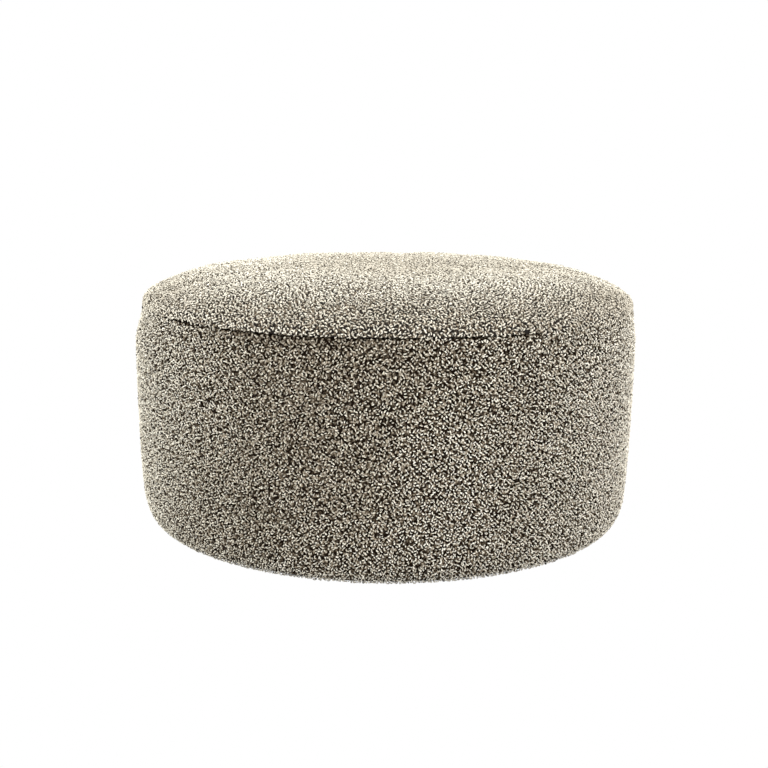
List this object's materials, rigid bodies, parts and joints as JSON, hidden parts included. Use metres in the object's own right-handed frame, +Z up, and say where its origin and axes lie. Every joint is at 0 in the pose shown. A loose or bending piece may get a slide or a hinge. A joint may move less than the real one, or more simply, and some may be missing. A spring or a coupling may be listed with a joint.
{
  "type": "round upholstered pouf",
  "caption": "Round drum pouf in two-tone boucle, with a crowned top panel sewn to a softly bulged side band, for use as a footrest or low seat.",
  "frame": {"origin": "middle of the underside, on the floor", "axes": "+Z up through the middle of the crown, -Y the front that the picture shows, +X to its right"},
  "size_m": [0.8016, 0.7984, 0.4014],
  "materials": {
    "boucle": "two-tone boucle: cream curls standing on dark brown ground yarn, matt, with a soft fuzz at grazing angles",
    "base_cloth": "plain dark brown woven underside cloth, matt"
  },
  "bodies": {
    "root": {"top_panel": "boucle", "side_band": "boucle", "base_panel": "base_cloth"}
  },
  "joints": []
}
